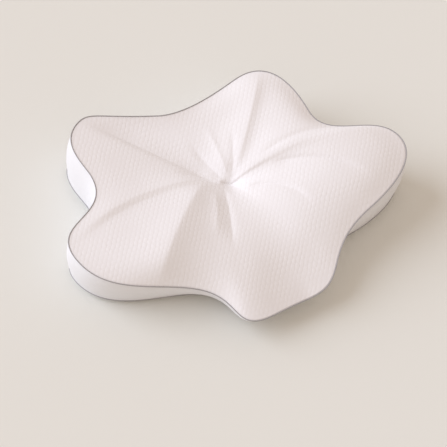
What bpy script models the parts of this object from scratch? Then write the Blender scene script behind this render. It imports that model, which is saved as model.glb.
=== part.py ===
"""Butterfly cervical pillow: one filled cushion, with thin piping round its top seam and its base seam.

The pillow lies on its base, with the head side towards +Y and the neck side towards -Y. The origin is
the middle of its outline, on the surface that it rests on. Every size is in millimetres until a mesh
is made.
"""

import math

import bmesh
import bpy
import numpy as np

MM = 0.001

# Piping and clearances
PIPING_DIAMETER = 1.5
PIPING_BEVEL_RESOLUTION = 1
SEWN_GAP = 0.35

# Filled top
DIMPLE_AT = (6.0, 30.0)
CENTRE_LEVEL = 68.0
TUFT_DEPTH = 5.0
TUFT_RADIUS = 20.0
LEVEL_SHARES = (0.0, 0.3, 0.6, 0.85, 1.0)
ROUNDING_SHARE = 0.05
OUTLINE_POWER = 5
FOLD_EDGE_POWER = 14
FOLD_SHARPNESS = 1.35

# Side band and underside
BASE_SEAM_HEIGHT = 11.0

# Fineness of the solids
SEAM_SAMPLES = 120
CURVE_STEPS = 60
TOP_RING_SHARES = (
    0.04, 0.08, 0.12, 0.17, 0.22, 0.28, 0.34, 0.40, 0.46,
    0.52, 0.58, 0.65, 0.72, 0.79, 0.86, 0.92, 0.97, 1.0,
)

# Colours as linear RGB, then roughness
CLOTH = ((0.86, 0.85, 0.87), 0.92)
PIPING = ((0.36, 0.35, 0.36), 0.80)

# The top seam, counter-clockwise from above. Heading is the seam's direction in degrees, and the
# reaches say how far the curve runs straight on before and after its point. The levels are the top's
# heights on the way out from the dimple, and draw in is how far the base seam lies inside this one.
SEAM = [
    # name                x,    y, heading, reach before, after, seam height, inner, middle, outer level, draw in
    ("right wing",       293,  -10,     103,           57,    60,         101,    98,    114,         112,      -4),
    ("right notch",      179,   90,      89,           67,    23,          98,    94,    108,         107,       2),
    ("right head lobe",  102,  195,     194,           87,    22,          98,    88,     98,         102,       3),
    ("head notch",       -57,  173,     162,           53,    99,          95,    75,     82,          89,       3),
    ("left head lobe",  -186,  204,     210,           31,    52,          98,    76,     86,          94,       3),
    ("left notch",      -210,  104,     271,           24,    81,          94,    76,     84,          91,       4),
    ("left wing",       -299,  -26,     282,           75,    82,          88,    79,     88,          91,      14),
    ("left neck notch", -125, -135,     326,           64,    61,          55,    76,     78,          70,      24),
    ("neck edge",        -36, -207,       9,           80,    76,          39,    76,     70,          52,      33),
    ("neck corner",       52, -197,      11,           22,    51,          39,    78,     70,          50,      33),
    ("right neck notch", 185, -107,      17,           98,    24,          82,    90,    100,          94,      13),
]

# The main gathers that run out from the dimple, as ridges (rise above 0) and creases (rise below 0).
# Bow is how far the middle of a fold lies to the left of its straight line, and the two widths say
# how fast it dies away to the left and to the right of it, looking outwards.
FOLDS = [
    # name                    start x,   y,  end x,    y,  bow,  rise, left width, right width
    ("left head crease",         -20,   42,   -172,  202,   -4,  -7.0,    9,   40),
    ("head notch tuck",           -2,   42,    -26,  112,    2,  -2.8,    9,    9),
    ("right head ridge",          18,   41,    148,  202,   -2,   4.5,   38,   12),
    ("right wing crease",         82,   23,    205,  -58,   14,  -2.8,    8,   14),
    ("right front tuck",          30,    6,     98,  -68,   12,  -2.4,    7,   10),
    ("front tuck",               -12,   18,    -54,  -90,    2,  -3.0,    8,   14),
    ("front ridge",              -42,   38,   -250, -179,  -12,  12.0,   32,   50),
    ("left wing ridge",          -46,   46,   -290,    4,  -18,   2.6,   12,   26),
]

# The side band, from the top seam down to the base seam. Drop is the share of the way down, and
# outset is how far the filling pushes the cloth out.
SIDE_ROWS = [
    # name              drop, outset
    ("under the seam",  0.04,   -0.3),
    ("upper side",      0.20,    3.0),
    ("middle",          0.45,    4.5),
    ("lower side",      0.72,    3.0),
    ("over the seam",   0.94,   -0.2),
    ("base seam",       1.00,    0.0),
]

# The underside, from the base seam in to the flat
UNDERSIDE_ROWS = [
    # name            height, inset
    ("tuck under",       5.0,   4.0),
    ("near the flat",    1.2,  10.0),
    ("edge of flat",     0.0,  17.0),
]


def clear_scene():
    """Remove every object that is already in the scene."""
    for obj in list(bpy.data.objects):
        bpy.data.objects.remove(obj, do_unlink=True)


def smooth_step(value):
    """Ease from 0 to 1 as the value goes from 0 to 1."""
    clipped = np.clip(value, 0.0, 1.0)
    return clipped * clipped * (3.0 - 2.0 * clipped)


def eased(keys, values, wanted):
    """Values between those given at the keys, on a smooth curve through them, one for each column."""
    keys = np.asarray(keys, dtype=float)
    slopes = np.gradient(values, keys, axis=0)
    low = np.clip(np.searchsorted(keys, wanted, side="right") - 1, 0, len(keys) - 2)
    columns = np.arange(values.shape[1])
    span = keys[low + 1] - keys[low]
    part = (wanted - keys[low]) / span
    return (
        (2 * part ** 3 - 3 * part ** 2 + 1) * values[low, columns]
        + (part ** 3 - 2 * part ** 2 + part) * span * slopes[low, columns]
        + (3 * part ** 2 - 2 * part ** 3) * values[low + 1, columns]
        + (part ** 3 - part ** 2) * span * slopes[low + 1, columns]
    )


def rounded(values):
    """Values round the seam, each averaged with its neighbours."""
    reach = round(len(values) * ROUNDING_SHARE)
    steps = np.arange(-reach, reach + 1)
    weights = 1 + np.cos(np.pi * steps / (reach + 1))
    total = sum(weight * np.roll(values, step, axis=0) for weight, step in zip(weights, steps))
    return total / weights.sum()


def seam_curve():
    """Dense points round the top seam, each with its plan, seam height, levels and draw in."""
    places = np.array([(row[1], row[2], *row[6:]) for row in SEAM], dtype=float)
    ahead = np.roll(places, -1, axis=0)
    behind = np.roll(places, 1, axis=0)
    run = np.linalg.norm((ahead - places)[:, :2], axis=1) + np.linalg.norm((places - behind)[:, :2], axis=1)
    headings = np.radians([row[3] for row in SEAM])
    directions = (ahead - behind) / run[:, None]
    directions[:, 0] = np.cos(headings)
    directions[:, 1] = np.sin(headings)
    share = (np.arange(CURVE_STEPS) / CURVE_STEPS)[:, None]
    pieces = []
    for index, row in enumerate(SEAM):
        following = (index + 1) % len(SEAM)
        start = places[index]
        end = places[following]
        start_handle = start + directions[index] * row[5]
        end_handle = end - directions[following] * SEAM[following][4]
        pieces.append(
            (1 - share) ** 3 * start
            + 3 * (1 - share) ** 2 * share * start_handle
            + 3 * (1 - share) * share ** 2 * end_handle
            + share ** 3 * end
        )
    return np.vstack(pieces)


def even_samples(points, count):
    """The closed curve through the points, as a number of points at even steps along it."""
    closed = np.vstack((points, points[:1]))
    steps = np.linalg.norm(np.diff(closed[:, :3], axis=0), axis=1)
    travelled = np.concatenate(([0.0], np.cumsum(steps)))
    wanted = np.linspace(0.0, travelled[-1], count, endpoint=False)
    return np.column_stack([np.interp(wanted, travelled, column) for column in closed.T])


def fold_rise(x, y):
    """How far the gathers lift or lower the top at these places."""
    total = np.zeros_like(x)
    for _, start_x, start_y, end_x, end_y, bow, rise, left_width, right_width in FOLDS:
        length = math.hypot(end_x - start_x, end_y - start_y)
        along = np.array((end_x - start_x, end_y - start_y)) / length
        share = ((x - start_x) * along[0] + (y - start_y) * along[1]) / length
        across = (y - start_y) * along[0] - (x - start_x) * along[1] - bow * 4 * share * (1 - share)
        width = np.where(across > 0, left_width, right_width)
        fade = smooth_step(share / 0.2 + 0.35) * smooth_step((1.08 - share) / 0.45)
        total += rise * fade * np.exp(-np.abs(across / width) ** FOLD_SHARPNESS)
    return total


def top_ring(seam, share):
    """A ring of the top, at a share of the way from the dimple out to the seam.

    Towards the dimple the levels follow a rounder outline than the seam's, so that the seam's notches
    leave no lines on the filled top.
    """
    middle = np.array(DIMPLE_AT)
    plan = middle + (seam[:, :2] - middle) * share
    away = np.linalg.norm(plan - middle, axis=1)
    radius = np.linalg.norm(seam[:, :2] - middle, axis=1)
    edge = share ** OUTLINE_POWER
    reach = radius * edge + rounded(radius) * (1 - edge)
    levels = np.vstack((np.full(len(seam), CENTRE_LEVEL), rounded(seam[:, 3:6]).T, seam[:, 2]))
    level = eased(LEVEL_SHARES, levels, np.minimum(away / reach, 1.0))
    tuft = TUFT_DEPTH * np.exp(-((away / TUFT_RADIUS) ** 2))
    folds = fold_rise(plan[:, 0], plan[:, 1]) * (1 - share ** FOLD_EDGE_POWER)
    return np.column_stack((plan, level - tuft + folds))


def moved_out(seam, outset):
    """The seam's plan, moved out from the dimple by a distance of its own at each point."""
    away = seam[:, :2] - np.array(DIMPLE_AT)
    return seam[:, :2] + away / np.linalg.norm(away, axis=1)[:, None] * np.reshape(outset, (-1, 1))


def pillow_rings():
    """Every ring of the pillow, from the dimple over the seam and down to the edge of its flat base."""
    seam = even_samples(seam_curve(), SEAM_SAMPLES)
    rings = [top_ring(seam, share) for share in TOP_RING_SHARES]
    heights = seam[:, 2]
    draw_in = seam[:, 6]
    for _, drop, outset in SIDE_ROWS:
        level = BASE_SEAM_HEIGHT + (heights - BASE_SEAM_HEIGHT) * (1 - drop)
        rings.append(np.column_stack((moved_out(seam, outset - draw_in * drop), level)))
    for _, height, inset in UNDERSIDE_ROWS:
        level = np.full(SEAM_SAMPLES, height)
        rings.append(np.column_stack((moved_out(seam, -draw_in - inset), level)))
    everything = np.vstack(rings)
    middle = (everything.max(axis=0) + everything.min(axis=0)) / 2
    shift = np.array((-middle[0], -middle[1], 0.0))
    return [ring + shift for ring in rings], shift


def seam_normals(ring, ring_above, ring_below):
    """Directions that point away from the pillow along one of its seams."""
    along = np.roll(ring, -1, axis=0) - np.roll(ring, 1, axis=0)
    normals = np.zeros_like(ring)
    for down in (ring - ring_above, ring_below - ring):
        facing = np.cross(down, along)
        normals += facing / np.linalg.norm(facing, axis=1)[:, None]
    return normals / np.linalg.norm(normals, axis=1)[:, None]


def cloth_material(name, look):
    """A plain material with the part's colour and roughness."""
    colour, roughness = look
    material = bpy.data.materials.new(name)
    material.use_nodes = True
    shader = material.node_tree.nodes["Principled BSDF"]
    shader.inputs["Base Color"].default_value = (*colour, 1.0)
    shader.inputs["Roughness"].default_value = roughness
    shader.inputs["Metallic"].default_value = 0.0
    return material


def make_pillow(rings, shift):
    """The filled cushion: rings of quads, a fan of triangles at the dimple and one flat base."""
    mesh = bpy.data.meshes.new("pillow")
    builder = bmesh.new()
    loops = [[builder.verts.new(point * MM) for point in ring] for ring in rings]
    for upper, lower in zip(loops, loops[1:]):
        for index in range(SEAM_SAMPLES):
            following = (index + 1) % SEAM_SAMPLES
            builder.faces.new((upper[index], lower[index], lower[following], upper[following]))
    bottom = CENTRE_LEVEL - TUFT_DEPTH + float(fold_rise(*np.array(DIMPLE_AT)[:, None])[0])
    middle = builder.verts.new(np.array((DIMPLE_AT[0] + shift[0], DIMPLE_AT[1] + shift[1], bottom)) * MM)
    for index in range(SEAM_SAMPLES):
        builder.faces.new((middle, loops[0][index], loops[0][(index + 1) % SEAM_SAMPLES]))
    builder.faces.new(reversed(loops[-1]))
    builder.to_mesh(mesh)
    builder.free()
    mesh.shade_smooth()
    mesh.set_sharp_from_angle(angle=math.radians(50))
    mesh.materials.append(cloth_material("white_knit", CLOTH))
    pillow = bpy.data.objects.new("pillow", mesh)
    bpy.context.scene.collection.objects.link(pillow)
    return pillow


def make_piping(name, ring, normals):
    """A thin round piping that follows a seam, just clear of the cloth."""
    path = ring + normals * (PIPING_DIAMETER / 2 + SEWN_GAP)
    curve = bpy.data.curves.new(name, "CURVE")
    curve.dimensions = "3D"
    curve.bevel_depth = PIPING_DIAMETER / 2 * MM
    curve.bevel_resolution = PIPING_BEVEL_RESOLUTION
    spline = curve.splines.new("POLY")
    spline.points.add(len(path) - 1)
    for point, place in zip(spline.points, path * MM):
        point.co = (*place, 1.0)
    spline.use_cyclic_u = True
    curve.materials.append(cloth_material(name + "_grey", PIPING))
    piping = bpy.data.objects.new(name, curve)
    bpy.context.scene.collection.objects.link(piping)
    return piping


def main():
    clear_scene()
    rings, shift = pillow_rings()
    make_pillow(rings, shift)
    top_seam = len(TOP_RING_SHARES) - 1
    base_seam = top_seam + len(SIDE_ROWS)
    for name, index in (("top_piping", top_seam), ("base_piping", base_seam)):
        normals = seam_normals(rings[index], rings[index - 1], rings[index + 1])
        make_piping(name, rings[index], normals)


main()
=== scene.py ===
"""Studio scene of a butterfly cervical pillow that lies on its base on a pale floor."""

import math

import bpy
import numpy as np
from mathutils import Matrix, Vector


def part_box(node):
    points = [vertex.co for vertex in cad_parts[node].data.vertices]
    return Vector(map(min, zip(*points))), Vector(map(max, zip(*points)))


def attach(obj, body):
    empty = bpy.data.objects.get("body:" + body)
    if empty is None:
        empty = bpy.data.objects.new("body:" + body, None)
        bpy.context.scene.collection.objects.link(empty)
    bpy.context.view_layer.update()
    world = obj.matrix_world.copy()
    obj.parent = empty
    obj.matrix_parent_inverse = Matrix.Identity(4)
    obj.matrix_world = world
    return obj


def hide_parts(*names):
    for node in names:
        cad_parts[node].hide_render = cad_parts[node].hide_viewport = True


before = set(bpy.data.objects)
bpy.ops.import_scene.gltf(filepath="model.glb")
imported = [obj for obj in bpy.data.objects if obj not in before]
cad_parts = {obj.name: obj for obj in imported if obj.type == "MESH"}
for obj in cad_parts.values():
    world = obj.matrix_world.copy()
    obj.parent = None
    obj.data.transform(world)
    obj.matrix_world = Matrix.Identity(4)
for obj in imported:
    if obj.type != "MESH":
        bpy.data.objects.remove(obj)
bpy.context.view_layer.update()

MM = 0.001

# View, in the photograph's frame
FRAME_PIXELS = 447
CAMERA_BEARING = -40.0
CAMERA_ELEVATION = 53.0
CAMERA_ROLL = 15.0
CAMERA_DISTANCE = 3.866
CAMERA_LOOKS_AT = (-0.0105, -0.0015, 0.0)
FOCAL_PIXELS = 2400.0
SENSOR_WIDTH = 36.0

# Light. Bearing is counter-clockwise from +X, towards the light, and spread is the light's breadth,
# all in degrees.
LIGHTS = [
    # name   bearing, elevation, spread, strength, colour
    ("key",      150,        30,     50,     2.40, (0.80, 0.865, 1.00)),
]
SKY_COLOUR = (1.0, 0.845, 0.735)
SKY_STRENGTH = 0.68

# Filled top, in millimetres like the tables below
DIMPLE_AT = (6.0, 30.0)
CENTRE_LEVEL = 68.0
TUFT_DEPTH = 5.0
TUFT_RADIUS = 20.0
LEVEL_SHARES = (0.0, 0.3, 0.6, 0.85, 1.0)
FOLD_EDGE_POWER = 14
FOLD_SHARPNESS = 1.35
ROUNDING_SHARE = 0.05
OUTLINE_POWER = 5

# Side band, underside and piping
BASE_SEAM_HEIGHT = 11.0
PIPING_DIAMETER = 1.5
PIPING_SEAT = 0.5

# Colours as linear RGB
CLOTH_PALE = (0.872, 0.866, 0.884)
# Painted shade: the top's groove colour darkens the knit's grooves, and also gives an uneven yarn tone
CLOTH_TONE_AND_GROOVE_SHADE = (0.846, 0.836, 0.854)
BAND_PALE = (0.82, 0.82, 0.84)
# Painted shade: the band's groove colour darkens the gaps between stitches, and also gives an uneven yarn
# tone
BAND_TONE_AND_STITCH_SHADE = (0.78, 0.78, 0.80)
PIPING_GREY = (0.42, 0.41, 0.42)
PIPING_GREY_WORN = (0.34, 0.33, 0.34)

# Knit and weave, in metres, with the bearing in degrees
KNIT_COLUMN = 0.0104
KNIT_ROW = 0.0067
KNIT_BEARING = 53.0
KNIT_RELIEF = 0.00024
STITCH_SIZE = 0.0011
STITCH_RELIEF = 0.00006
BASE_STITCH_SIZE = 1.6 * STITCH_SIZE
WEAVE_RELIEF = 0.00005

# Unevenness of the cloth. Scales are waves to the metre.
DRIFT_SCALE = 70.0
FADING_SCALE = 28.0
FUZZ_SCALE = 900.0
WEAVE_SCALE = 520.0
DYE_SCALE = 60.0
CELL_WANDER = 0.0045
CELL_PARTING = 0.85
CELL_EDGE_POWER = 2.5
STITCH_SLANT = 0.6

# Floor
FLOOR_HALF_WIDTH = 15.0
FLOOR_COLOUR = (0.775, 0.782, 0.742)

# Fineness of the cover
SEAM_SAMPLES = 480
CURVE_STEPS = 120
TOP_RINGS = 96
SIDE_RINGS = 26
UNDERSIDE_RINGS = 10

# The top seam, counter-clockwise from above. Heading is the seam's direction in degrees, before and
# after say how far the curve runs straight on either side of its point, and height is the seam's own.
# Inner, middle and outer are the top's levels on the way out from the dimple, and draw in is how far
# the base seam lies inside this one.
SEAM = [
    # name                 x,    y, heading, before, after, height, inner, middle, outer, draw in
    ("right wing",        293,  -10,     103,     57,    60,    101,    98,    114,   112,      -4),
    ("right notch",       179,   90,      89,     67,    23,     98,    94,    108,   107,       2),
    ("right head lobe",   102,  195,     194,     87,    22,     98,    88,     98,   102,       3),
    ("head notch",        -57,  173,     162,     53,    99,     95,    75,     82,    89,       3),
    ("left head lobe",   -186,  204,     210,     31,    52,     98,    76,     86,    94,       3),
    ("left notch",       -210,  104,     271,     24,    81,     94,    76,     84,    91,       4),
    ("left wing",        -299,  -26,     282,     75,    82,     88,    79,     88,    91,      14),
    ("left neck notch",  -125, -135,     326,     64,    61,     55,    76,     78,    70,      24),
    ("neck edge",         -36, -207,       9,     80,    76,     39,    76,     70,    52,      33),
    ("neck corner",        52, -197,      11,     22,    51,     39,    78,     70,    50,      33),
    ("right neck notch",  185, -107,      17,     98,    24,     82,    90,    100,    94,      13),
]

# Gathers that run out from the dimple, as ridges (rise above 0) and creases (rise below 0). Bow is
# how far the middle of a fold lies to the left of its straight line, and the two widths say how
# fast it dies away to the left and to the right of it, looking outwards.
FOLDS = [
    # name                    start x,   y,  end x,    y,  bow,  rise, left width, right width
    ("slit",                      -8,   35,     24,   25,    0,  -3.2,    2,    4),
    ("left head crease",         -20,   42,   -172,  202,   -4,  -7.0,    7,   40),
    ("left high pleat",           -8,   42,    -62,   92,    0,  -1.6,    4,    6),
    ("left low pleat",           -10,   36,    -76,   74,    0,  -1.6,    4,    6),
    ("head notch tuck",           -2,   42,    -26,  112,    2,  -2.4,    7,    8),
    ("head notch ridge",           6,   42,     10,  130,    0,   1.6,    8,    6),
    ("right head tuck",           16,   44,     44,  104,    0,  -1.6,    6,    6),
    ("right head ridge",          18,   41,    148,  202,   -2,   4.5,   38,   10),
    ("right wing upper crease",   70,   46,    240,   36,    9,  -1.5,    5,    6),
    ("right wing crease",         82,   23,    205,  -58,   14,  -2.6,    4,   12),
    ("right front tuck",          30,    6,     98,  -68,   12,  -2.2,    4,    9),
    ("front tuck",               -12,   18,    -54,  -90,    2,  -2.8,    6,   13),
    ("front tuck lip",           -32,   14,    -72,  -64,    2,   1.5,    8,    8),
    ("front ridge",              -42,   38,   -250, -179,  -12,  12.0,   32,   50),
    ("left wing crease",         -48,   36,   -292,   -8,  -18,  -1.2,   14,    8),
    ("left wing ridge",          -46,   46,   -290,    4,  -18,   2.2,   10,   26),
]

# The side band, from the top seam down to the base seam. Drop is the share of the way down, and
# outset is how far the filling pushes the cloth out.
SIDE_ROWS = [
    # name              drop, outset
    ("top seam",        0.00,    0.0),
    ("under the seam",  0.04,   -0.3),
    ("upper side",      0.20,    3.0),
    ("middle",          0.45,    4.5),
    ("lower side",      0.72,    3.0),
    ("over the seam",   0.94,   -0.2),
    ("base seam",       1.00,    0.0),
]

# The underside, from the base seam in to the flat
UNDERSIDE_ROWS = [
    # name            height, inset
    ("base seam",       11.0,   0.0),
    ("tuck under",       5.0,   4.0),
    ("near the flat",    1.2,  10.0),
    ("edge of flat",     0.0,  17.0),
]


def smooth_step(value):
    """Ease from 0 to 1 as the value goes from 0 to 1."""
    clipped = np.clip(value, 0.0, 1.0)
    return clipped * clipped * (3.0 - 2.0 * clipped)


def eased(keys, values, wanted):
    """Values between those given at the keys, on a smooth curve through them, one for each column."""
    keys = np.asarray(keys, dtype=float)
    slopes = np.gradient(values, keys, axis=0)
    low = np.clip(np.searchsorted(keys, wanted, side="right") - 1, 0, len(keys) - 2)
    columns = np.arange(values.shape[1])
    span = keys[low + 1] - keys[low]
    part = (wanted - keys[low]) / span
    return (
        (2 * part ** 3 - 3 * part ** 2 + 1) * values[low, columns]
        + (part ** 3 - 2 * part ** 2 + part) * span * slopes[low, columns]
        + (3 * part ** 2 - 2 * part ** 3) * values[low + 1, columns]
        + (part ** 3 - part ** 2) * span * slopes[low + 1, columns]
    )


def rounded(values):
    """Values round the seam, each averaged with its neighbours."""
    reach = round(len(values) * ROUNDING_SHARE)
    steps = np.arange(-reach, reach + 1)
    weights = 1 + np.cos(np.pi * steps / (reach + 1))
    total = sum(weight * np.roll(values, step, axis=0) for weight, step in zip(weights, steps))
    return total / weights.sum()


def seam_curve():
    """Dense points round the top seam, each with its plan, seam height, levels and draw in."""
    places = np.array([(row[1], row[2], *row[6:]) for row in SEAM], dtype=float)
    ahead = np.roll(places, -1, axis=0)
    behind = np.roll(places, 1, axis=0)
    run = np.linalg.norm((ahead - places)[:, :2], axis=1)
    run += np.linalg.norm((places - behind)[:, :2], axis=1)
    headings = np.radians([row[3] for row in SEAM])
    directions = (ahead - behind) / run[:, None]
    directions[:, 0] = np.cos(headings)
    directions[:, 1] = np.sin(headings)
    share = (np.arange(CURVE_STEPS) / CURVE_STEPS)[:, None]
    pieces = []
    for index, row in enumerate(SEAM):
        following = (index + 1) % len(SEAM)
        start = places[index]
        end = places[following]
        start_handle = start + directions[index] * row[5]
        end_handle = end - directions[following] * SEAM[following][4]
        pieces.append(
            (1 - share) ** 3 * start
            + 3 * (1 - share) ** 2 * share * start_handle
            + 3 * (1 - share) * share ** 2 * end_handle
            + share ** 3 * end
        )
    return np.vstack(pieces)


def even_samples(points, count):
    """The closed curve through the points, as a number of points at even steps along it."""
    closed = np.vstack((points, points[:1]))
    steps = np.linalg.norm(np.diff(closed[:, :3], axis=0), axis=1)
    travelled = np.concatenate(([0.0], np.cumsum(steps)))
    wanted = np.linspace(0.0, travelled[-1], count, endpoint=False)
    return np.column_stack([np.interp(wanted, travelled, column) for column in closed.T])


def fold_rise(x, y):
    """How far the gathers lift or lower the top at these places."""
    total = np.zeros_like(x)
    for _, start_x, start_y, end_x, end_y, bow, rise, left_width, right_width in FOLDS:
        length = math.hypot(end_x - start_x, end_y - start_y)
        along = np.array((end_x - start_x, end_y - start_y)) / length
        share = ((x - start_x) * along[0] + (y - start_y) * along[1]) / length
        across = (y - start_y) * along[0] - (x - start_x) * along[1] - bow * 4 * share * (1 - share)
        width = np.where(across > 0, left_width, right_width)
        fade = smooth_step(share / 0.2 + 0.35) * smooth_step((1.08 - share) / 0.45)
        total += rise * fade * np.exp(-np.abs(across / width) ** FOLD_SHARPNESS)
    return total


def top_ring(seam, share):
    """A ring of the top, at a share of the way from the dimple out to the seam.

    Towards the dimple the levels follow a rounder outline than the seam's, so that the seam's notches
    leave no lines on the filled top.
    """
    middle = np.array(DIMPLE_AT)
    plan = middle + (seam[:, :2] - middle) * share
    away = np.linalg.norm(plan - middle, axis=1)
    radius = np.linalg.norm(seam[:, :2] - middle, axis=1)
    edge = share ** OUTLINE_POWER
    reach = radius * edge + rounded(radius) * (1 - edge)
    levels = np.vstack((np.full(len(seam), CENTRE_LEVEL), rounded(seam[:, 3:6]).T, seam[:, 2]))
    level = eased(LEVEL_SHARES, levels, np.minimum(away / reach, 1.0))
    tuft = TUFT_DEPTH * np.exp(-((away / TUFT_RADIUS) ** 2))
    folds = fold_rise(plan[:, 0], plan[:, 1]) * (1 - share ** FOLD_EDGE_POWER)
    return np.column_stack((plan, level - tuft + folds))


def moved_out(seam, outset):
    """The seam's plan, moved out from the dimple by a distance of its own at each point."""
    away = seam[:, :2] - np.array(DIMPLE_AT)
    return seam[:, :2] + away / np.linalg.norm(away, axis=1)[:, None] * np.reshape(outset, (-1, 1))


def rows_at(rows, count):
    """A table's two number columns at even steps from its first row to its last."""
    keys = np.arange(len(rows), dtype=float)
    table = np.array([row[1:] for row in rows], dtype=float)
    wanted = np.linspace(0.0, keys[-1], count)
    return np.array([eased(keys, table, np.full(2, key)) for key in wanted]).T


def cover_rings():
    """Every ring of the cover, from the dimple over the top seam and down to the edge of its flat base."""
    seam = even_samples(seam_curve(), SEAM_SAMPLES)
    shares = np.linspace(0.0, 1.0, TOP_RINGS + 1)[1:]
    rings = [top_ring(seam, share) for share in shares]
    heights = seam[:, 2]
    draw_in = seam[:, 6]
    drops, outsets = rows_at(SIDE_ROWS, SIDE_RINGS + 1)
    for drop, outset in zip(drops[1:], outsets[1:]):
        level = BASE_SEAM_HEIGHT + (heights - BASE_SEAM_HEIGHT) * (1 - drop)
        rings.append(np.column_stack((moved_out(seam, outset - draw_in * drop), level)))
    levels, insets = rows_at(UNDERSIDE_ROWS, UNDERSIDE_RINGS + 1)
    for height, inset in zip(levels[1:], insets[1:]):
        level = np.full(SEAM_SAMPLES, max(height, 0.0))
        rings.append(np.column_stack((moved_out(seam, -draw_in - inset), level)))
    rings = np.array(rings)
    low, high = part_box("pillow")
    flat = rings.reshape(-1, 3)
    middle = (flat.max(axis=0) + flat.min(axis=0)) / 2
    shift_x = (low[0] + high[0]) / 2 / MM - middle[0]
    shift_y = (low[1] + high[1]) / 2 / MM - middle[1]
    return rings + np.array((shift_x, shift_y, 0.0))


def seam_normals(rings, index):
    """Directions that point away from the pillow along one of its seams."""
    ring = rings[index]
    along = np.roll(ring, -1, axis=0) - np.roll(ring, 1, axis=0)
    normals = np.zeros_like(ring)
    for down in (ring - rings[index - 1], rings[index + 1] - ring):
        facing = np.cross(down, along)
        normals += facing / np.linalg.norm(facing, axis=1)[:, None]
    return normals / np.linalg.norm(normals, axis=1)[:, None]


def add(tree, kind, **values):
    """A new node, with its settings and plain socket values."""
    node = tree.nodes.new(kind)
    for name, value in values.items():
        if hasattr(node, name):
            setattr(node, name, value)
        else:
            node.inputs[name.replace("_", " ")].default_value = value
    return node


def arithmetic(tree, operation, first, second=None):
    """A Math node's result, from sockets or numbers."""
    node = tree.nodes.new("ShaderNodeMath")
    node.operation = operation
    for socket, value in zip(node.inputs, (first, second)):
        if isinstance(value, bpy.types.NodeSocket):
            tree.links.new(value, socket)
        elif value is not None:
            socket.default_value = value
    return node.outputs[0]


def new_group(name, inputs, outputs):
    """A shader node group with float or vector inputs and outputs, and its own input and output nodes."""
    group = bpy.data.node_groups.new(name, "ShaderNodeTree")
    for socket_name, kind, value in inputs:
        socket = group.interface.new_socket(socket_name, in_out="INPUT", socket_type=kind)
        if value is not None:
            socket.default_value = value
    for socket_name in outputs:
        group.interface.new_socket(socket_name, in_out="OUTPUT", socket_type="NodeSocketFloat")
    return group, group.nodes.new("NodeGroupInput"), group.nodes.new("NodeGroupOutput")


def knit_cells_group():
    """Soft raised cells in bricked rows, as a height from 0 to 1, with some wander and fading."""
    group, given, result = new_group(
        "knit_cells",
        (
            ("Place", "NodeSocketVector", None),
            ("Column", "NodeSocketFloat", KNIT_COLUMN),
            ("Row", "NodeSocketFloat", KNIT_ROW),
            ("Wander", "NodeSocketFloat", CELL_WANDER),
            ("Cells", "NodeSocketFloat", CELL_PARTING),
        ),
        ("Height",),
    )
    drift = add(group, "ShaderNodeTexNoise", Scale=DRIFT_SCALE, Detail=1.0)
    group.links.new(given.outputs["Place"], drift.inputs["Vector"])
    shift = add(group, "ShaderNodeVectorMath", operation="SUBTRACT")
    group.links.new(drift.outputs["Color"], shift.inputs[0])
    shift.inputs[1].default_value = (0.5, 0.5, 0.5)
    scaled = add(group, "ShaderNodeVectorMath", operation="SCALE")
    group.links.new(shift.outputs[0], scaled.inputs[0])
    group.links.new(given.outputs["Wander"], scaled.inputs["Scale"])
    moved = add(group, "ShaderNodeVectorMath", operation="ADD")
    group.links.new(given.outputs["Place"], moved.inputs[0])
    group.links.new(scaled.outputs[0], moved.inputs[1])
    split = group.nodes.new("ShaderNodeSeparateXYZ")
    group.links.new(moved.outputs[0], split.inputs[0])
    row = arithmetic(group, "DIVIDE", split.outputs["Y"], given.outputs["Row"])
    odd_row = arithmetic(group, "FLOORED_MODULO", arithmetic(group, "FLOOR", row), 2.0)
    bricked = arithmetic(group, "MULTIPLY", odd_row, 0.5)
    straight = arithmetic(group, "DIVIDE", split.outputs["X"], given.outputs["Column"])
    column = arithmetic(group, "ADD", straight, bricked)
    profiles = []
    for position in (row, column):
        inside = arithmetic(group, "SUBTRACT", arithmetic(group, "FRACT", position), 0.5)
        outwards = arithmetic(group, "ABSOLUTE", arithmetic(group, "MULTIPLY", inside, 2.0))
        edge = arithmetic(group, "POWER", outwards, CELL_EDGE_POWER)
        profiles.append(arithmetic(group, "SUBTRACT", 1.0, edge))
    gaps = arithmetic(group, "SUBTRACT", 1.0, profiles[1])
    ends = arithmetic(group, "MULTIPLY", gaps, given.outputs["Cells"])
    cells = arithmetic(group, "MULTIPLY", profiles[0], arithmetic(group, "SUBTRACT", 1.0, ends))
    fading = add(group, "ShaderNodeTexNoise", Scale=FADING_SCALE, Detail=2.0)
    group.links.new(given.outputs["Place"], fading.inputs["Vector"])
    strength = add(group, "ShaderNodeMapRange", From_Min=0.32, From_Max=0.62, To_Min=0.35, To_Max=1.0)
    group.links.new(fading.outputs["Fac"], strength.inputs["Value"])
    height = arithmetic(group, "MULTIPLY", cells, strength.outputs["Result"])
    group.links.new(height, result.inputs["Height"])
    return group


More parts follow.
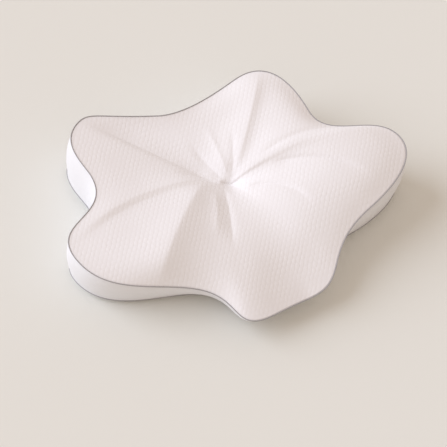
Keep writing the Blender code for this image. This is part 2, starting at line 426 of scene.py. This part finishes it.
def fine_stitches_group():
    """The knit's own small stitches, as a height and as a mask of where the yarn has fuzzed."""
    group, given, result = new_group(
        "fine_stitches",
        (
            ("Place", "NodeSocketVector", None),
            ("Stitch", "NodeSocketFloat", STITCH_SIZE),
            ("Slant", "NodeSocketFloat", STITCH_SLANT),
        ),
        ("Height", "Fuzz"),
    )
    split = group.nodes.new("ShaderNodeSeparateXYZ")
    group.links.new(given.outputs["Place"], split.inputs[0])
    wale = arithmetic(group, "DIVIDE", split.outputs["X"], given.outputs["Stitch"])
    course = arithmetic(group, "DIVIDE", split.outputs["Y"], given.outputs["Stitch"])
    leg = arithmetic(group, "PINGPONG", wale, 0.5)
    lean = arithmetic(group, "MULTIPLY", leg, given.outputs["Slant"])
    loops = arithmetic(group, "PINGPONG", arithmetic(group, "ADD", course, lean), 0.5)
    group.links.new(arithmetic(group, "ADD", leg, loops), result.inputs["Height"])
    fuzz = add(group, "ShaderNodeTexNoise", Scale=FUZZ_SCALE, Detail=3.0, Roughness=0.65)
    group.links.new(given.outputs["Place"], fuzz.inputs["Vector"])
    group.links.new(fuzz.outputs["Fac"], result.inputs["Fuzz"])
    return group


def new_material(name, colour, roughness, sheen=0.0):
    """A Principled material with its plain values set, and its shader."""
    material = bpy.data.materials.new(name)
    material.use_nodes = True
    shader = material.node_tree.nodes["Principled BSDF"]
    shader.inputs["Base Color"].default_value = (*colour, 1.0)
    shader.inputs["Roughness"].default_value = roughness
    shader.inputs["Sheen Weight"].default_value = sheen
    return material, shader


def lie_of_cloth(tree, bearing):
    """Place on the flat cloth, in metres, with X along a bearing in degrees."""
    lie = add(tree, "ShaderNodeUVMap", uv_map="cloth")
    turn = add(tree, "ShaderNodeMapping", Rotation=(0.0, 0.0, -math.radians(bearing)))
    tree.links.new(lie.outputs["UV"], turn.inputs["Vector"])
    return turn.outputs["Vector"]


def placed_group(tree, group, place, **values):
    """A node group in a material, fed with a place and with its own values."""
    node = tree.nodes.new("ShaderNodeGroup")
    node.node_tree = group
    tree.links.new(place, node.inputs["Place"])
    for name, value in values.items():
        node.inputs[name].default_value = value
    return node


def blended(tree, factor, low, high):
    """A colour between two, by a factor."""
    mix = add(tree, "ShaderNodeMix", data_type="RGBA")
    mix.inputs["A"].default_value = (*low, 1.0)
    mix.inputs["B"].default_value = (*high, 1.0)
    tree.links.new(factor, mix.inputs["Factor"])
    return mix.outputs["Result"]


def raised(tree, height, distance, under=None):
    """A Bump node's normal, on top of another where one is given."""
    bump = add(tree, "ShaderNodeBump", Strength=1.0, Distance=distance)
    tree.links.new(height, bump.inputs["Height"])
    if under is not None:
        tree.links.new(under, bump.inputs["Normal"])
    return bump.outputs["Normal"]


def fuzzy_roughness(tree, shader, fuzz, low, high):
    """Roughness that follows the fuzz of the yarn."""
    rough = add(tree, "ShaderNodeMapRange", From_Min=0.3, From_Max=0.7, To_Min=low, To_Max=high)
    tree.links.new(fuzz, rough.inputs["Value"])
    tree.links.new(rough.outputs["Result"], shader.inputs["Roughness"])


def top_knit(cells, stitches):
    """Pale jacquard knit: bricked soft cells on the bias over fine stitches, with painted shade in the
    grooves and an uneven tone where the yarn has fuzzed.
    """
    material, shader = new_material("top_knit", CLOTH_PALE, 0.92, sheen=0.15)
    tree = material.node_tree
    place = lie_of_cloth(tree, KNIT_BEARING)
    knit = placed_group(tree, cells, place)
    fine = placed_group(tree, stitches, place)
    normal = raised(tree, fine.outputs["Height"], STITCH_RELIEF)
    normal = raised(tree, knit.outputs["Height"], KNIT_RELIEF, under=normal)
    tree.links.new(normal, shader.inputs["Normal"])
    # Painted shade: the colour darkens towards the groove colour in the cells' grooves, and varies with
    # the fuzz
    painted_shade_and_tone = arithmetic(tree, "MULTIPLY_ADD", fine.outputs["Fuzz"], 0.3)
    tree.links.new(arithmetic(tree, "MULTIPLY", knit.outputs["Height"], 0.7), painted_shade_and_tone.node.inputs[2])
    tree.links.new(blended(tree, painted_shade_and_tone, CLOTH_TONE_AND_GROOVE_SHADE, CLOTH_PALE), shader.inputs["Base Color"])
    fuzzy_roughness(tree, shader, fine.outputs["Fuzz"], 0.86, 0.96)
    return material


def plain_knit(name, stitches, colour, stitch_shade_and_tone, stitch, bearing):
    """Smooth jersey of the band and the underside: fine stitches only, with painted shade between the
    stitches and an uneven tone where the yarn has fuzzed.
    """
    material, shader = new_material(name, colour, 0.9, sheen=0.1)
    tree = material.node_tree
    fine = placed_group(tree, stitches, lie_of_cloth(tree, bearing), Stitch=stitch)
    tree.links.new(raised(tree, fine.outputs["Height"], STITCH_RELIEF), shader.inputs["Normal"])
    # Painted shade: the colour darkens between the stitches, and varies with the fuzz
    painted_shade_and_tone = arithmetic(tree, "MULTIPLY_ADD", fine.outputs["Fuzz"], 0.4)
    tree.links.new(arithmetic(tree, "MULTIPLY", fine.outputs["Height"], 0.6), painted_shade_and_tone.node.inputs[2])
    tree.links.new(blended(tree, painted_shade_and_tone, stitch_shade_and_tone, colour), shader.inputs["Base Color"])
    fuzzy_roughness(tree, shader, fine.outputs["Fuzz"], 0.84, 0.94)
    return material


def piping_cloth(name):
    """Grey bias tape over a cord: fine slanting weave with a slightly uneven dye."""
    material, shader = new_material(name, PIPING_GREY, 0.8, sheen=0.1)
    tree = material.node_tree
    place = add(tree, "ShaderNodeTexCoord")
    weave = add(tree, "ShaderNodeTexWave", bands_direction="DIAGONAL", Scale=WEAVE_SCALE, Distortion=1.5)
    tree.links.new(place.outputs["Object"], weave.inputs["Vector"])
    tree.links.new(raised(tree, weave.outputs["Fac"], WEAVE_RELIEF), shader.inputs["Normal"])
    dye = add(tree, "ShaderNodeTexNoise", Scale=DYE_SCALE, Detail=3.0)
    tree.links.new(place.outputs["Object"], dye.inputs["Vector"])
    colour = blended(tree, dye.outputs["Fac"], PIPING_GREY_WORN, PIPING_GREY)
    tree.links.new(colour, shader.inputs["Base Color"])
    fuzzy_roughness(tree, shader, dye.outputs["Fac"], 0.74, 0.88)
    return material


def cloth_lie(rings):
    """Where each face corner lies on its flat cloth, in metres.

    It is the plan on the top and the underside, and the girth and height on the band.
    """
    count = SEAM_SAMPLES
    seam = rings[TOP_RINGS - 1]
    steps = np.linalg.norm(np.roll(seam, -1, axis=0) - seam, axis=1)
    girth = np.concatenate(([0.0], np.cumsum(steps)))
    corners = []
    for ring in range(len(rings) - 1):
        upper = rings[ring]
        lower = rings[ring + 1]
        if TOP_RINGS - 1 <= ring < TOP_RINGS - 1 + SIDE_RINGS:
            here = girth[:count]
            there = girth[1:]
            upper_level = upper[:, 2]
            lower_level = lower[:, 2]
            quad = (
                (here, upper_level),
                (here, lower_level),
                (there, np.roll(lower_level, -1)),
                (there, np.roll(upper_level, -1)),
            )
        else:
            ahead_upper = np.roll(upper, -1, axis=0)
            ahead_lower = np.roll(lower, -1, axis=0)
            quad = [(part[:, 0], part[:, 1]) for part in (upper, lower, ahead_lower, ahead_upper)]
        corners.append(np.array(quad).transpose(2, 0, 1).reshape(-1, 2))
    for ring in (rings[0], rings[-1][::-1]):
        ahead = np.roll(ring, -1, axis=0)
        centre = np.broadcast_to(ring.mean(axis=0), ring.shape)
        triangle = [(part[:, 0], part[:, 1]) for part in (centre, ring, ahead)]
        corners.append(np.array(triangle).transpose(2, 0, 1).reshape(-1, 2))
    return np.vstack(corners) * MM


def make_cover(rings):
    """The closed cover, with its cloth laid flat in a UV map in metres."""
    count = SEAM_SAMPLES
    order = np.arange(count)
    following = np.roll(order, -1)
    quads = []
    slots = []
    for ring in range(len(rings) - 1):
        upper = ring * count
        lower = upper + count
        quads.append(np.column_stack((upper + order, lower + order, lower + following, upper + following)))
        slots += [0 if ring < TOP_RINGS - 1 else 1 if ring < TOP_RINGS - 1 + SIDE_RINGS else 2] * count
    top_middle = len(rings) * count
    last = order[::-1] + (len(rings) - 1) * count
    caps = [
        np.column_stack((np.full(count, top_middle), order, following)),
        np.column_stack((np.full(count, top_middle + 1), last, np.roll(last, -1))),
    ]
    slots += [0] * count + [2] * count
    verts = np.vstack((rings.reshape(-1, 3), rings[0].mean(axis=0), rings[-1].mean(axis=0))) * MM
    mesh = bpy.data.meshes.new("cover")
    mesh.from_pydata(verts.tolist(), [], np.vstack(quads).tolist() + np.vstack(caps).tolist())
    mesh.polygons.foreach_set("material_index", slots)
    lie = mesh.uv_layers.new(name="cloth")
    lie.data.foreach_set("uv", cloth_lie(rings).ravel())
    mesh.shade_smooth()
    cover = bpy.data.objects.new("cover", mesh)
    bpy.context.scene.collection.objects.link(cover)
    return cover


def make_piping(name, rings, index):
    """A thin round piping that follows a seam."""
    path = rings[index] + seam_normals(rings, index) * PIPING_SEAT
    curve = bpy.data.curves.new(name, "CURVE")
    curve.dimensions = "3D"
    curve.bevel_depth = PIPING_DIAMETER / 2 * MM
    curve.bevel_resolution = 3
    spline = curve.splines.new("POLY")
    spline.points.add(len(path) - 1)
    for point, place in zip(spline.points, path * MM):
        point.co = (*place, 1.0)
    spline.use_cyclic_u = True
    piping = bpy.data.objects.new(name, curve)
    bpy.context.scene.collection.objects.link(piping)
    return piping


def make_floor():
    """A wide pale floor."""
    mesh = bpy.data.meshes.new("floor")
    half = FLOOR_HALF_WIDTH
    corners = [(-half, -half, 0), (half, -half, 0), (half, half, 0), (-half, half, 0)]
    mesh.from_pydata(corners, [], [(0, 1, 2, 3)])
    floor = bpy.data.objects.new("floor", mesh)
    bpy.context.scene.collection.objects.link(floor)
    material, _ = new_material("pale_floor", FLOOR_COLOUR, 0.9)
    mesh.materials.append(material)


def make_camera():
    """The camera at the photograph's angle, turned about its own axis by the photograph's roll."""
    data = bpy.data.cameras.new("camera")
    data.sensor_width = SENSOR_WIDTH
    data.lens = FOCAL_PIXELS * SENSOR_WIDTH / FRAME_PIXELS
    data.clip_end = 60.0
    camera = bpy.data.objects.new("camera", data)
    bearing = math.radians(CAMERA_BEARING)
    elevation = math.radians(CAMERA_ELEVATION)
    look = Vector((
        -math.sin(bearing) * math.cos(elevation),
        math.cos(bearing) * math.cos(elevation),
        -math.sin(elevation),
    ))
    roll = Matrix.Rotation(math.radians(CAMERA_ROLL), 4, "Z")
    turn = look.to_track_quat("-Z", "Y").to_matrix().to_4x4() @ roll
    camera.matrix_world = Matrix.Translation(Vector(CAMERA_LOOKS_AT) - look * CAMERA_DISTANCE) @ turn
    bpy.context.scene.collection.objects.link(camera)
    bpy.context.scene.camera = camera


def make_lights():
    """Soft distant lights and a warm sky all round."""
    for name, bearing, elevation, spread, strength, colour in LIGHTS:
        data = bpy.data.lights.new(name, "SUN")
        data.energy = strength
        data.color = colour
        data.angle = math.radians(spread)
        light = bpy.data.objects.new(name, data)
        flat = math.cos(math.radians(elevation))
        towards = Vector((
            math.cos(math.radians(bearing)) * flat,
            math.sin(math.radians(bearing)) * flat,
            math.sin(math.radians(elevation)),
        ))
        light.matrix_world = towards.to_track_quat("Z", "Y").to_matrix().to_4x4()
        bpy.context.scene.collection.objects.link(light)
    world = bpy.data.worlds.new("sky")
    world.use_nodes = True
    sky = world.node_tree.nodes["Background"]
    sky.inputs["Color"].default_value = (*SKY_COLOUR, 1.0)
    sky.inputs["Strength"].default_value = SKY_STRENGTH
    bpy.context.scene.world = world


def main():
    make_camera()
    make_lights()
    make_floor()
    rings = cover_rings()
    cover = make_cover(rings)
    stitches = fine_stitches_group()
    for cloth in (
        top_knit(knit_cells_group(), stitches),
        plain_knit("band_cloth", stitches, BAND_PALE, BAND_TONE_AND_STITCH_SHADE, STITCH_SIZE, 0.0),
        plain_knit("base_cloth", stitches, BAND_PALE, BAND_TONE_AND_STITCH_SHADE, BASE_STITCH_SIZE, 90.0),
    ):
        cover.data.materials.append(cloth)
    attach(cover, "root")
    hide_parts("pillow")
    top_seam = TOP_RINGS - 1
    for name, node, index in (
        ("top_cord", "top_piping", top_seam),
        ("base_cord", "base_piping", top_seam + SIDE_RINGS),
    ):
        cord = make_piping(name, rings, index)
        cord.data.materials.append(piping_cloth(name + "_grey"))
        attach(cord, "root")
        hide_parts(node)


main()
bpy.context.scene.view_settings.view_transform = "Standard"
